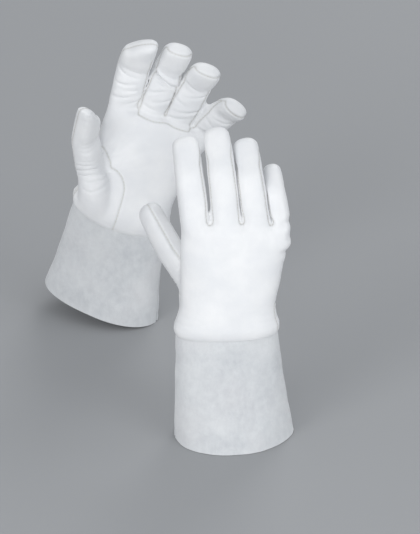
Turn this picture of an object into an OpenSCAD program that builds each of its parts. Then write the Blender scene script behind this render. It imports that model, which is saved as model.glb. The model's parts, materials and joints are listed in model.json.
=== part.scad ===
// A pair of long-cuffed welding gloves that stand on their cuffs, fingers up.
// Hand part in thin grain leather, cuff in thicker split leather. Millimetres, +Z up.
// Each glove is drawn once, thumb towards -X and palm towards +Y; the left one is its mirror image.

/* [Leather] */
// Thickness of the hand leather
hide = 1.2; // [0.9:0.1:1.6]
// Thickness of the split leather in the cuff
split_hide = 1.5; // [1.2:0.1:2]
// Gap left along a seam between two panels
seam_gap = 0.5; // [0.4:0.1:0.8]

/* [Hand] */
// Distance from the wrist seam to the bottom of the finger slits
palm_length = 107; // [100:1:112]
// Half width of the hand part at the wrist seam
wrist_half_width = 49; // [46:1:52]
// Half depth of the hand part at the wrist seam
wrist_half_depth = 24; // [22:1:27]
// Half width of the hand part across the knuckles
knuckle_half_width = 54.5; // [54:0.5:57]
// Half depth of the hand part across the knuckles
knuckle_half_depth = 14; // [13:0.5:15]
// Length of a finger's first segment as a share of its whole length
knuckle_share = 0.53; // [0.5:0.01:0.56]

/* [Cuff] */
// Height of the cuff, hem to wrist seam
cuff_height = 115; // [104:1:124]
// Half width of the cuff at the hem
hem_half_width = 58; // [55:1:62]
// Half depth of the cuff at the hem
hem_half_depth = 42; // [36:1:46]

/* [Stance] */
// Distance of the left glove behind the right one
pair_depth = 240; // [230:1:300]
// Distance of the left glove to the side of the right one
pair_width = 131; // [120:1:180]

/* [Hidden] */
SIDES = ["right", "left"];
FINGERS = ["index", "middle", "ring", "little"];
PARTS = concat(["cuff_back", "cuff_palm", "cuff_thread", "back_panel", "palm_panel",
                "thumb_gusset", "finger_crotches", "hand_thread", "thumb_base", "thumb_tip"],
               [for (f = FINGERS, wall = ["back", "front", "sides", "tip_back", "tip_front"]) str(f, "_", wall)]);

// Finger sizes, index to little: half width and half depth at the base on each glove, whole length, and where
// it leaves the palm. The left glove's fingers lie flatter and wider.
finger_half_width = [[14.6, 14, 13.3, 9.6], [15.2, 12.3, 13.8, 12]];
finger_half_depth = [[12, 12.2, 11.8, 10], [11, 11.2, 11, 9.8]];
finger_length = [84, 92, 83, 65];
finger_x = [[-28.2, 1.8, 30.4, 54.5], [-27, 1, 28, 55.5]];
finger_z = [for (drop = [0, 0, 1.5, 6]) palm_length - drop];
hinge_y = 4;                // hinges lie this far to the palm side of a finger's middle
squareness = 2.7;           // exponent of the rounded-box cross-sections
base_flex = 60;             // most that a finger bends at its base, from straight
back_flex = 8;              // how far it bends back from straight
middle_flex = 85;           // most that a finger bends at its middle knuckle, from straight

// Thumb: where it hinges, which way it points, and its sizes.
thumb_at = [[-32.5, 19.7, 49.6], [-42, 19, 46]];
thumb_turn = [[-22, -37, -40], [-25, -30, -40]];   // about X, Y and then its own axis
thumb_half_width = 14.5;
thumb_half_depth = 12.6;
thumb_lengths = [33, 44];
thumb_flex = [35, 60];
thumb_hinge_y = 3;          // its hinges lie this far to the palm side of its middle

// Pose of each glove, right then left. Angles in degrees; flex bends towards the palm.
pair_middle = [-0.8, -0.7]; // puts the middle of the pair's box on the origin
hem_at = [[pair_middle.x + pair_width / 2, pair_middle.y - pair_depth / 2, 0],
          [pair_middle.x - pair_width / 2, pair_middle.y + pair_depth / 2, 0]];
hem_yaw = [8, -25];
hem_lean = [0, 13];         // the left cuff stands on the little finger's side of its hem
hem_spread = [0, 3];        // the left cuff's hem is pressed wider and flatter by this much
wrist_shift = [[-6, 2, cuff_height], [18, -20, cuff_height + 2]];
wrist_lean = [-2, 17];
seam_tilt = [0, 13];        // the seam between cuff and hand
wrist_tilt = [10, -20];     // the hand beyond it
finger_spread = [[-8.5, -8, -10, -11], [-2, 1.5, 6, 22]];
finger_flex = [[12, 12, 15, 22], [15, 12, 14, 24]];
knuckle_flex = [[24, 25, 28, 32], [32, 28, 30, 38]];
thumb_tip_flex = [8, 18];
wrist_swing = 20;           // most that the hand nods on the cuff, each way

columns = 16;               // panel columns round a finger
back_cells = [0, 5];        // column ranges of a finger's four walls, starting at its back corner
side_cells = [[5, 8], [13, 16]];
front_cells = [8, 13];

// ---------- matrices and section curves ----------
function shift(v) = [[1, 0, 0, v.x], [0, 1, 0, v.y], [0, 0, 1, v.z], [0, 0, 0, 1]];
function turn_x(a) = [[1, 0, 0, 0], [0, cos(a), -sin(a), 0], [0, sin(a), cos(a), 0], [0, 0, 0, 1]];
function turn_y(a) = [[cos(a), 0, sin(a), 0], [0, 1, 0, 0], [-sin(a), 0, cos(a), 0], [0, 0, 0, 1]];
function turn_z(a) = [[cos(a), -sin(a), 0, 0], [sin(a), cos(a), 0, 0], [0, 0, 1, 0], [0, 0, 0, 1]];
function flip_y(s) = [[1, 0, 0, 0], [0, s == 0 ? 1 : -1, 0, 0], [0, 0, 1, 0], [0, 0, 0, 1]];
function moved(m, p) = let (q = m * [p.x, p.y, p.z, 1]) [q.x, q.y, q.z];
function aimed(m, p) = let (q = m * [p.x, p.y, p.z, 0]) [q.x, q.y, q.z];
function signed_power(v, e) = sign(v) * pow(abs(v), e);
function ring_point(a, b, t, e = squareness) =
    [a * signed_power(cos(t), 2 / e), b * signed_power(sin(t), 2 / e)];
function blend(a, b, k) = a + (b - a) * k;

// ---------- frames of the moving bodies ----------
function hem_frame(s) = shift(hem_at[s] + [0, 0, (hem_half_width + hem_spread[s]) * sin(hem_lean[s])])
    * turn_z(hem_yaw[s]) * flip_y(s) * turn_y(hem_lean[s]);
function wrist_frame(s, tilt) = shift(hem_at[s] + wrist_shift[s]) * flip_y(s) * turn_y(wrist_lean[s]) * turn_x(-tilt);
function seam_frame(s) = wrist_frame(s, seam_tilt[s]);
function hand_frame(s) = wrist_frame(s, wrist_tilt[s]);
function finger_frame(s, i) = hand_frame(s) * shift([finger_x[s][i], hinge_y, finger_z[i]])
    * turn_y(finger_spread[s][i]) * turn_x(-finger_flex[s][i]);
function segment(i) = finger_length[i] * knuckle_share;
function tip_frame(s, i) = finger_frame(s, i) * shift([0, 0, segment(i)]) * turn_x(-knuckle_flex[s][i]);
function thumb_on_hand(s) = let (turn = thumb_turn[s])
    shift(thumb_at[s]) * turn_y(turn.y) * turn_x(turn.x) * turn_z(turn.z);
function thumb_frame(s) = hand_frame(s) * thumb_on_hand(s);
function thumb_tip_frame(s) = thumb_frame(s) * shift([0, 0, thumb_lengths[0]]) * turn_x(-thumb_tip_flex[s]);

// Joints of one glove as [name, parent, child, position, axis, lowest, highest]; positive bends to the palm.
function bend_axis(s, m) = aimed(m, [s == 0 ? -1 : 1, 0, 0]);
function joints(s) = let (p = str(SIDES[s], "_")) concat(
    [[str(p, "wrist_bend"), str(p, "cuff"), str(p, "hand"), moved(hand_frame(s), [0, 0, 0]),
      bend_axis(s, hand_frame(s)), -wrist_swing, wrist_swing],
     [str(p, "thumb_bend"), str(p, "hand"), str(p, "thumb"), moved(thumb_frame(s), [0, 0, 0]),
      bend_axis(s, thumb_frame(s)), -12, thumb_flex[0]],
     [str(p, "thumb_tip_bend"), str(p, "thumb"), str(p, "thumb_end"), moved(thumb_tip_frame(s), [0, 0, 0]),
      bend_axis(s, thumb_tip_frame(s)), -thumb_tip_flex[s], thumb_flex[1] - thumb_tip_flex[s]]],
    [for (i = [0:3]) each
     [[str(p, FINGERS[i], "_bend"), str(p, "hand"), str(p, FINGERS[i]), moved(finger_frame(s, i), [0, 0, 0]),
       bend_axis(s, finger_frame(s, i)), -back_flex - finger_flex[s][i], base_flex - finger_flex[s][i]],
      [str(p, FINGERS[i], "_tip_bend"), str(p, FINGERS[i]), str(p, FINGERS[i], "_end"),
       moved(tip_frame(s, i), [0, 0, 0]), bend_axis(s, tip_frame(s, i)),
       -knuckle_flex[s][i], middle_flex - knuckle_flex[s][i]]]]);

// ---------- the shell that every panel is made of ----------
// outer and inner are grids of points, row by row; keep[row][column] says which cells hold leather.
// wrap joins the last column to the first, apex closes the last row to one point,
// and mirrored turns the faces round for points that were mirrored.
module shell(outer, inner, keep, wrap = false, apex = false, mirrored = false) {
    rows = len(outer);
    cols = len(outer[0]);
    cells = wrap ? cols : cols - 1;
    function at(r, c, side) = side * rows * cols + r * cols + (c % cols);
    function kept(r, c) = r >= 0 && r < rows - 1 && (wrap || (c >= 0 && c < cells))
        && keep[r][(c + cells) % cells];
    function quad(a, b, c, d) = [[a, b, c], [a, c, d]];
    used = [for (r = [0:rows - 2], c = [0:cells - 1]) if (kept(r, c)) [r, c]];
    faces = [for (u = used) let (r = u[0], c = u[1]) each concat(
        quad(at(r, c, 0), at(r + 1, c, 0), at(r + 1, c + 1, 0), at(r, c + 1, 0)),
        quad(at(r, c + 1, 1), at(r + 1, c + 1, 1), at(r + 1, c, 1), at(r, c, 1)),
        kept(r - 1, c) ? [] : quad(at(r, c, 0), at(r, c + 1, 0), at(r, c + 1, 1), at(r, c, 1)),
        kept(r + 1, c) || (apex && r == rows - 2) ? []
            : quad(at(r + 1, c + 1, 0), at(r + 1, c, 0), at(r + 1, c, 1), at(r + 1, c + 1, 1)),
        kept(r, c - 1) ? [] : quad(at(r + 1, c, 0), at(r, c, 0), at(r, c, 1), at(r + 1, c, 1)),
        kept(r, c + 1) ? [] : quad(at(r, c + 1, 0), at(r + 1, c + 1, 0), at(r + 1, c + 1, 1), at(r, c + 1, 1)))];
    tops = [2 * rows * cols, 2 * rows * cols + 1];
    fans = !apex ? [] : [for (c = [0:cells - 1]) each
        [[at(rows - 1, c, 0), tops[0], at(rows - 1, c + 1, 0)],
         [at(rows - 1, c + 1, 1), tops[1], at(rows - 1, c, 1)]]];
    middles = !apex ? [] : [for (g = [outer, inner]) let (l = g[rows - 1]) (l[0] + l[cols / 2]) / 2];
    polyhedron(points = [for (g = [outer, inner], row = g, p = row) p, for (m = middles) m],
               faces = [for (f = concat(faces, fans)) mirrored ? [f[2], f[1], f[0]] : f], convexity = 6);
}

function span_mask(rows, cells, first, last) =
    [for (r = [0:rows - 1]) [for (c = [0:cells - 1]) c >= first && c < last]];

// ---------- fingers ----------
// Corner angles of a finger's columns, from the back's thumb side corner, round by the little finger side.
corner = 50;                // half angle taken by a side wall
function column_angle(c) =
    c <= 5 ? blend(180 + corner, 360 - corner, c / 5)
    : c <= 8 ? blend(360 - corner, 360 + corner, (c - 5) / 3)
    : c <= 13 ? blend(corner, 180 - corner, (c - 8) / 5) + 360
    : blend(540 - corner, 540 + corner, (c - 13) / 3);

// Each wall stops short of its neighbours by half a seam gap, so its end columns are pulled in.
function pulled(c, first, last, radius) = let (g = seam_gap / 2 / radius * 57.3)
    column_angle(c) + (c == first ? g : c == last ? -g : 0);

// How far a bending joint's V-shaped notch reaches along the finger at depth y from the hinge.
function notch(y, most, back) = max(back, y * tan(most / 2) + 1);

// One wall of a segment from low to high, with notches of those angles at its ends.
module finger_wall(half, low, high, low_flex, high_flex, cells, taper = 1, back_gap = 0.4) {
    steps = 3;
    function point(r, c, inset) = let (
        t = pulled(c, cells[0], cells[1], half[1]),
        y0 = ring_point(half[0], half[1], t)[1] - hinge_y,
        z0 = low + (low_flex ? notch(y0, low_flex, back_gap) : 0),
        z1 = high - (high_flex ? notch(y0, high_flex, 0.4) : 0),
        k = r / steps,
        size = blend(1, taper, k),
        p = ring_point(half[0] * size - inset, half[1] * size - inset, t))
        [p.x, p.y - hinge_y, blend(z0, z1, k)];
    grid = [for (inset = [0, hide]) [for (r = [0:steps]) [for (c = [cells[0]:cells[1]]) point(r, c, inset)]]];
    shell(grid[0], grid[1], span_mask(steps, cells[1] - cells[0], 0, 99));
}

base_taper = [0.96, 1.1];
tip_taper = 0.92;
function half_size(s, i) = [finger_half_width[s][i], finger_half_depth[s][i]];

module finger_base(s, i, cells) {
    finger_wall(half_size(s, i), 0, segment(i), base_flex, middle_flex, cells, base_taper[s], back_gap = 5);
}

function tip_length(i) = finger_length[i] - segment(i);
tip_seam = 11;              // height of the tip seam below the fingertip

module finger_tip_wall(s, i, cells) {
    finger_wall(half_size(s, i) * base_taper[s], 0, tip_length(i) - tip_seam - seam_gap, middle_flex, 0, cells,
                tip_taper);
}

// The back of a fingertip and the cap that wraps over it are one piece of leather.
module tip_back(half, length, most, cells, taper) {
    wall_rows = 3;
    cap_rows = 3;
    rows = wall_rows + cap_rows;
    start = length - tip_seam;
    function size(r) = r <= wall_rows ? blend(1, taper, r / wall_rows)
        : taper * pow(1 - pow((r - wall_rows) / (cap_rows + 0.35), 2.2), 0.5);
    function height(r, y) = r <= wall_rows ? blend(notch(y, most, 0.4), start, r / wall_rows)
        : start + tip_seam * sin(90 * (r - wall_rows) / cap_rows);
    function point(r, c, inset) = let (
        t = r < wall_rows ? pulled(c, cells[0], cells[1], half[1]) : column_angle(c),
        y0 = ring_point(half[0], half[1], t)[1] - hinge_y,
        p = ring_point(max(half[0] * size(r) - inset, 1.5), max(half[1] * size(r) - inset, 1.5), t))
        [p.x, p.y - hinge_y, height(r, y0) - (r > wall_rows ? inset * (r - wall_rows) / cap_rows : 0)];
    grid = [for (inset = [0, hide]) [for (r = [0:rows]) [for (c = [0:columns - 1]) point(r, c, inset)]]];
    keep = [for (r = [0:rows - 1]) [for (c = [0:columns - 1]) r >= wall_rows || (c >= cells[0] && c < cells[1])]];
    shell(grid[0], grid[1], keep, wrap = true, apex = true);
}

// ---------- hand ----------
// Half width, half depth and sideways middle of the hand part at height z.
function hand_a(z) = lookup(z, [[0, wrist_half_width], [14, wrist_half_width - 3.5], [27, wrist_half_width - 3],
    [45, knuckle_half_width - 6], [70, knuckle_half_width - 4], [92, knuckle_half_width - 1],
    [palm_length, knuckle_half_width]]);
function hand_b(z) = lookup(z, [[0, wrist_half_depth], [14, wrist_half_depth - 2], [40, 21.5], [70, 18.5],
    [92, 16], [palm_length, knuckle_half_depth]]);
function hand_x(z) = lookup(z, [[0, 0], [14, 1], [27, 2.2], [45, 4.5], [70, 6.8], [92, 10.5], [palm_length, 12]]);
wrist_bend_height = 50;     // the hand part curves from the seam's tilt to its own over this height
function hand_point(s, z, t, inset = 0) = let (
    p = ring_point(hand_a(z) - inset, hand_b(z) - inset, t, 2.4),
    straight = 1 - pow(1 - min(1, z / wrist_bend_height), 2),
    bend = turn_x((wrist_tilt[s] - seam_tilt[s]) * (1 - straight)))
    moved(bend, [p.x + hand_x(z), p.y, z]);
function slit_drop(x) = lookup(x, [[13, 0], [38, 1.5], [62, 6]]);
wrist_gap = 1.2;            // hand part clear of the cuff at the seam
knuckle_gap = 1.5;          // and of the fingers at the back
palm_gap = 8.5;             // and of the fingers at the front, where they bend
hand_rows = 6;

// A panel of the hand part between two section angles; empty(row, column) cells can be left out.
module hand_panel(s, t0, t1, cells, first_empty = 99, last_empty = -1, empty_rows = 0) {
    g = seam_gap / 2 / hand_b(50) * 57.3 / 2;
    function point(r, c, inset) = let (
        t = blend(t0 + g, t1 - g, c / cells),
        tip = hand_point(s, palm_length, t),
        palmward = max(0, min(1, tip.y / knuckle_half_depth * 1.6)),
        high = palm_length - slit_drop(tip.x) - blend(knuckle_gap, palm_gap, palmward),
        low = wrist_gap + notch(abs(hand_point(s, 0, t).y) - 2, wrist_swing, 0))
        hand_point(s, blend(low, high, r / hand_rows), t, inset);
    grid = [for (inset = [0, hide]) [for (r = [0:hand_rows]) [for (c = [0:cells]) point(r, c, inset)]]];
    keep = [for (r = [0:hand_rows - 1]) [for (c = [0:cells - 1])
        !(r < empty_rows && c >= first_empty && c <= last_empty)
        && !(r == empty_rows && c >= last_empty - 5 && c <= last_empty)]];
    shell(grid[0], grid[1], keep);
}

palm_cells = 14;
gusset_cells = 7;           // palm columns that the thumb's gusset takes the place of
gusset_rows = 3;
module back_panel(s) { hand_panel(s, 182, 358, 14); }
module palm_panel(s) { hand_panel(s, 2, 178, palm_cells, palm_cells - gusset_cells, palm_cells - 1, gusset_rows); }

// The thumb's gusset rises from the opening in the palm panel to the ring that the thumb springs from.
// The inner hull reaches past both ends of the outer one, which leaves them open.
gusset_corners = 24;
module thumb_gusset(s) {
    t_inner = blend(2, 178, (palm_cells - gusset_cells) / palm_cells) + 3;
    t_outer = 174;
    z_low = wrist_gap + 8;
    z_high = palm_length * gusset_rows / hand_rows - 3;
    function base_point(a, inset) = hand_point(s,
        blend(z_low + inset, z_high - inset, 0.5 - 0.5 * signed_power(sin(a), 0.6)),
        blend(t_inner + inset, t_outer - inset, 0.5 - 0.5 * signed_power(cos(a), 0.6)), 4 * inset);
    function ring_at(a, inset) = let (
        p = ring_point(thumb_half_width - inset, thumb_half_depth - inset, a, 2.3))
        moved(thumb_on_hand(s), [p.x, p.y - thumb_hinge_y, 2 * inset - 2 - 0.3 * max(0, p.y)]);
    module body(inset) {
        hull() for (n = [0:gusset_corners - 1]) {
            a = 360 * n / gusset_corners;
            translate(base_point(a, inset)) cube(0.02, center = true);
            translate(ring_at(a, inset)) cube(0.02, center = true);
        }
    }
    difference() {
        body(0);
        body(hide);
    }
}

// The U-shaped bottoms of the three strips that wall the slits between fingers.
crotch_strip = 0.8;         // thickness of the leather here, thinned by skiving
module finger_crotches(s) {
    half = finger_half_width[s];
    crotch_x = [for (i = [0:2]) (finger_x[s][i] + half[i] + finger_x[s][i + 1] - half[i + 1]) / 2];
    for (i = [0:2]) {
        z = min(finger_z[i], finger_z[i + 1]);
        reach = knuckle_half_depth - hide - 2;
        translate([crotch_x[i], 0, z]) rotate([90, 0, 90]) linear_extrude(crotch_strip, center = true) difference() {
            translate([-reach, -13]) square([2 * reach, 11]);
            translate([0, -2 - 30 * 0.96]) circle(r = 26, $fn = 64);
            translate([-reach - 1, -14]) square([6, 6]);
        }
    }
}

// ---------- thumb ----------
module thumb_half(size, low, high, low_flex, high_flex, t0, t1, taper) {
    steps = 3;
    cols = 8;
    g = seam_gap / 2 / size[1] * 57.3;
    function point(r, c, inset) = let (
        t = blend(t0 + g, t1 - g, c / cols),
        y0 = ring_point(size[0], size[1], t, 2.3)[1] - thumb_hinge_y,
        z0 = low + notch(y0, low_flex, 1),
        z1 = high - (high_flex ? notch(y0, high_flex, 0.4) : 0),
        k = r / steps,
        s = blend(1, taper, k),
        p = ring_point(size[0] * s - inset, size[1] * s - inset, t, 2.3))
        [p.x, p.y - thumb_hinge_y, blend(z0, z1, k)];
    grid = [for (inset = [0, hide]) [for (r = [0:steps]) [for (c = [0:cols]) point(r, c, inset)]]];
    shell(grid[0], grid[1], span_mask(steps, cols, 0, 99));
}

thumb_size = [thumb_half_width, thumb_half_depth];
module thumb_base() {
    for (t = [0, 180]) thumb_half(thumb_size, 3, thumb_lengths[0], thumb_flex[0], thumb_flex[1], t, t + 180, 0.96);
}
module thumb_tip() {
    size = thumb_size * 0.96;
    tip_back(size, thumb_lengths[1], thumb_flex[1], back_cells, 0.86);
    for (cells = [side_cells[0], side_cells[1], front_cells])
        finger_wall(size, 0, thumb_lengths[1] - tip_seam - seam_gap, thumb_flex[1], 0, cells, 0.86);
}

// ---------- cuff ----------
// The cuff runs from the hem, flat on the floor, to the wrist seam, which leans with the hand.
cuff_rows = 4;
function cuff_point(s, k, t, inset) = let (
    hem = ring_point(hem_half_width + hem_spread[s] - inset, hem_half_depth - hem_spread[s] - inset, t, 2.1),
    seam = ring_point(wrist_half_width + 1.5 - inset, wrist_half_depth + 2 - inset, t, 2.3),
    dip = notch(abs(seam.y) - 2, wrist_swing, 0),
    low = moved(hem_frame(s), [hem.x, hem.y, 0]),
    high = moved(seam_frame(s), [seam.x, seam.y, -dip]))
    blend(low, high, k);

module cuff_panel(s, t0, t1) {
    cells = 14;
    g = seam_gap / 2 / hem_half_depth * 57.3;
    grid = [for (inset = [0, split_hide]) [for (r = [0:cuff_rows]) [for (c = [0:cells])
        cuff_point(s, r / cuff_rows, blend(t0 + g, t1 - g, c / cells), inset)]]];
    shell(grid[0], grid[1], span_mask(cuff_rows, cells, 0, 99), mirrored = s == 1);
}

// ---------- thread ----------
stitch_r = 0.35;
stitch_len = 2.6;
// One stitch from a to b.
module stitch(a, b) {
    d = b - a;
    translate((a + b) / 2)
        rotate([0, acos(d.z / norm(d)), atan2(d.y, d.x)])
            cylinder(r = stitch_r, h = stitch_len, center = true, $fn = 16);
}

// Rows of stitches up both side seams of the cuff, just outside the leather.
module cuff_thread(s) {
    count = 24;
    for (t = [0, 180], n = [1:count - 1]) {
        k = n / count;
        stitch(cuff_point(s, k - 0.01, t, -0.8), cuff_point(s, k + 0.01, t, -0.8));
    }
}

// Rows of stitches up both side seams of the hand; the thumb side stops at the gusset's top.
module hand_thread(s) {
    pitch = 4.2;
    for (t = [0, 180]) {
        low = t == 0 ? 14 : 70;
        for (z = [low:pitch:92]) stitch(hand_point(s, z - 1, t, -0.8), hand_point(s, z + 1, t, -0.8));
    }
}

// ---------- the pair ----------
grain_colour = "#f1f2f2";
split_colour = "#d6dadc";
thread_colour = "#d9d3bd";

module glove_part(s, part) {
    hand = hand_frame(s);
    if (part == "cuff_back") color(split_colour) cuff_panel(s, 180, 360);
    if (part == "cuff_palm") color(split_colour) cuff_panel(s, 0, 180);
    if (part == "cuff_thread") color(thread_colour) cuff_thread(s);
    if (part == "back_panel") color(grain_colour) multmatrix(hand) back_panel(s);
    if (part == "palm_panel") color(grain_colour) multmatrix(hand) palm_panel(s);
    if (part == "thumb_gusset") color(grain_colour) multmatrix(hand) thumb_gusset(s);
    if (part == "finger_crotches") color(grain_colour) multmatrix(hand) finger_crotches(s);
    if (part == "hand_thread") color(thread_colour) multmatrix(hand) hand_thread(s);
    if (part == "thumb_base") color(grain_colour) multmatrix(thumb_frame(s)) thumb_base();
    if (part == "thumb_tip") color(grain_colour) multmatrix(thumb_tip_frame(s)) thumb_tip();
    for (i = [0:3]) {
        base = finger_frame(s, i);
        tip = tip_frame(s, i);
        name = FINGERS[i];
        if (part == str(name, "_back")) color(grain_colour) multmatrix(base) finger_base(s, i, back_cells);
        if (part == str(name, "_front")) color(grain_colour) multmatrix(base) finger_base(s, i, front_cells);
        if (part == str(name, "_sides")) color(grain_colour) multmatrix(base)
            for (cells = side_cells) finger_base(s, i, cells);
        if (part == str(name, "_tip_back")) color(grain_colour) multmatrix(tip)
            tip_back(half_size(s, i) * base_taper[s], tip_length(i), middle_flex, back_cells, tip_taper);
        if (part == str(name, "_tip_front")) color(grain_colour) multmatrix(tip)
            for (cells = [side_cells[0], side_cells[1], front_cells]) finger_tip_wall(s, i, cells);
    }
}

for (s = [0, 1], part = PARTS)
    glove_part(s, part);
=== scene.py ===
"""Looks for a pair of gauntlet welding gloves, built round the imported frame.

Each glove's skin is modelled in its own hand coordinates (millimetres, x from the thumb to the little
finger, y towards the palm, z from the wrist seam to the fingertips), first straight with the fingers
fanned out, then bent to the frame's rest pose, wrinkled by a cloth-like relaxation, cut along its seams
into leather panels and placed in the frame. The left glove is built like a right one, with sizes of its
own, and mirrored.
"""
import json
import math

import bpy
import numpy as np
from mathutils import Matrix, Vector
from mathutils.kdtree import KDTree


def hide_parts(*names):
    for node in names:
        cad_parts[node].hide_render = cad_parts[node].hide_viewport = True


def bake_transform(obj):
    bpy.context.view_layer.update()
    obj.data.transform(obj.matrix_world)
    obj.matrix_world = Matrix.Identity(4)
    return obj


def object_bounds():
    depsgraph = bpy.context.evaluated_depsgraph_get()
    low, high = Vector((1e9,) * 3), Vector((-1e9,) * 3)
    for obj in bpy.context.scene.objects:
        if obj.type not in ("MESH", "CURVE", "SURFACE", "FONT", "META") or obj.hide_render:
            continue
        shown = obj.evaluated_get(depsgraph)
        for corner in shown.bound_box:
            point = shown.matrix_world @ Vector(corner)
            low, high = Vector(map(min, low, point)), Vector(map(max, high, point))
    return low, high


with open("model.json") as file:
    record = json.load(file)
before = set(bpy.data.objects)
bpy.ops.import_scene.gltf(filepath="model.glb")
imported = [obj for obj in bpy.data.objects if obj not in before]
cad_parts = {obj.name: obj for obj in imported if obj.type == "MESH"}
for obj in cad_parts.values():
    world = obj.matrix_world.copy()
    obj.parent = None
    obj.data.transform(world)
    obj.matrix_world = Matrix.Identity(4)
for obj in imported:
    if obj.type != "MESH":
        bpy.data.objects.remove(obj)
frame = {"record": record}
cad_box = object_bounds()
JOINTS = {joint["name"]: joint for joint in frame["record"]["behaviour"]["joints"]}

# ---------- sizes, in millimetres and degrees ----------
FINGERS = ("index", "middle", "ring", "little")
# one value per finger, from index to little
HALF_WIDTH = {"right": (14.8, 14.6, 14.0, 10.5), "left": (17.0, 15.6, 16.3, 15.0)}
HALF_DEPTH = {"right": (12.4, 12.6, 12.2, 10.6), "left": (11.6, 11.8, 11.6, 10.6)}
LENGTH = {"right": (87.5, 94.5, 85.0, 64.0), "left": (93.0, 85.0, 74.0, 57.0)}
LEAN = {"right": (7.0, 10.0, 9.0, 4.0), "left": (-1.5, 4.0, 2.5, 4.0)}      # sideways shift at the tip
SWEEP = {"right": (-4.0, -7.0, -6.0, -3.0), "left": (-1.0, 0.0, 3.5, 2.5)}   # and curve
# how much a fingertip falls and narrows towards its thumb side
TIP_SLANT = {"right": (0.0, 0.0, 0.0, 0.0), "left": (0.6, 0.0, 0.0, 0.0)}
FAN = (-18.0, -6.0, 6.0, 20.0)     # lean of the fingers before they are posed
HINGE_Y = 4.0                      # finger hinges lie this far to the palm side of the middle
PALM_LENGTH = 107.0
STRIP = 6.4                        # half width of the fourchette strips between the fingers
CAP = {"right": 5.5, "left": 3.0}  # the back panel wraps this far over a fingertip

THUMB_HALF = (14.5, 12.6)
THUMB_HINGE_Y = 3.0
THUMB_REACH = {"right": 84.0, "left": 91.0}     # length of the thumb's skin
THUMB_SWEEP = {"right": 0.0, "left": 6.0}       # sideways curve at its tip
THUMB_SLANT = {"right": 0.0, "left": 1.0}      # how far its tip falls to the finger side
THUMB_SEAM_LEAN = {"right": 0.5, "left": 0.0}   # turns the thumb's inner seam towards the nail

SEAM_TILT = {"right": 0.0, "left": 13.0}        # the wrist seam leans this far towards the palm
WRIST_TILT = {"right": 10.0, "left": -20.0}     # and the hand beyond it
SEAM_RISE = {"right": 0.0, "left": 9.0}         # the seam runs this much higher on the thumb's side
WRIST_BEND_HEIGHT = 50.0           # the hand curves from the seam's tilt to its own over this height
WRIST_HALF = (49.0, 24.0)          # half width and half depth at the wrist seam

HEM_HALF = (58.0, 42.0)            # and at the hem
HEM_YAW = {"right": 8.0, "left": -25.0}    # turn of the hem about the upright
HEM_LEAN = {"right": 0.0, "left": 13.0}    # the cuff stands on the little finger's side of its hem
HEM_SPREAD = {"right": 0.0, "left": 3.0}   # the hem is pressed wider and flatter by this much

CUFF_OVERLAP = 2.5                 # how far the cuff's top edge runs up inside the hand part
THICKNESS = {"grain_leather": 1.1, "split_leather": 1.6}
VOXEL = 2.1                        # grid size of the skin before it is subdivided
MM = 0.001

SIDES = ("right", "left")


# ---------- small helpers ----------
def unit(v):
    v = np.asarray(v, float)
    return v / np.linalg.norm(v)


def smooth(x, low, high):
    t = np.clip((x - low) / (high - low), 0, 1)
    return t * t * (3 - 2 * t)


def bump(x, centre, width):
    return np.exp(-(((x - centre) / width) ** 2))


def turn(axis, degrees):
    """Rotation matrix about a unit axis."""
    a = math.radians(degrees)
    x, y, z = axis
    k = np.array([[0, -z, y], [z, 0, -x], [-y, x, 0]], float)
    return np.eye(3) + math.sin(a) * k + (1 - math.cos(a)) * k @ k


def turned(points, axis, angles):
    """Each point turned about the origin by its own angle in radians."""
    c = np.cos(angles)[:, None]
    s = np.sin(angles)[:, None]
    axis = np.asarray(axis, float)
    return points * c + np.cross(axis, points) * s + np.outer(points @ axis, axis) * (1 - c)


def distinct(pairs):
    """The pairs of point numbers without direction or repeats."""
    low = pairs.min(axis=1).astype(np.int64)
    high = pairs.max(axis=1)
    base = high.max() + 1
    key = np.unique(low * base + high)
    return np.stack([key // base, key % base], axis=1)


def triangle_edges(tris):
    """The three edges of each triangle, one after the other, in the triangle's direction."""
    return tris[:, [0, 1, 1, 2, 2, 0]].reshape(-1, 2)


def vertex_normals(points, tris, sign=1):
    """Unit normals, each the mean of the triangles round the point."""
    p = points[tris]
    n = np.cross(p[:, 1] - p[:, 0], p[:, 2] - p[:, 0]) * sign
    total = np.zeros_like(points)
    for corner in range(3):
        for axis in range(3):
            total[:, axis] += np.bincount(tris[:, corner], n[:, axis], len(points))
    return total / np.maximum(np.linalg.norm(total, axis=1), 1e-9)[:, None]


def tree_of(points):
    """A tree that finds the nearest of the points."""
    tree = KDTree(len(points))
    for k, point in enumerate(points):
        tree.insert(point, k)
    tree.balance()
    return tree


def new_object(name, data):
    obj = bpy.data.objects.new(name, data)
    bpy.context.scene.collection.objects.link(obj)
    return obj


def value_noise(points, size, seed):
    """Smooth noise between -1 and 1 on a lattice of the given size."""
    rng = np.random.default_rng(seed)
    table = rng.uniform(-1, 1, (32, 32, 32))
    q = points / size
    cell = np.floor(q).astype(int)
    f = q - cell
    f = f * f * (3 - 2 * f)
    total = np.zeros(len(points))
    for corner in range(8):
        step = np.array([corner & 1, corner >> 1 & 1, corner >> 2 & 1])
        index = (cell + step) % 32
        weight = np.prod(np.where(step == 1, f, 1 - f), axis=1)
        total += weight * table[index[:, 0], index[:, 1], index[:, 2]]
    return total


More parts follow.
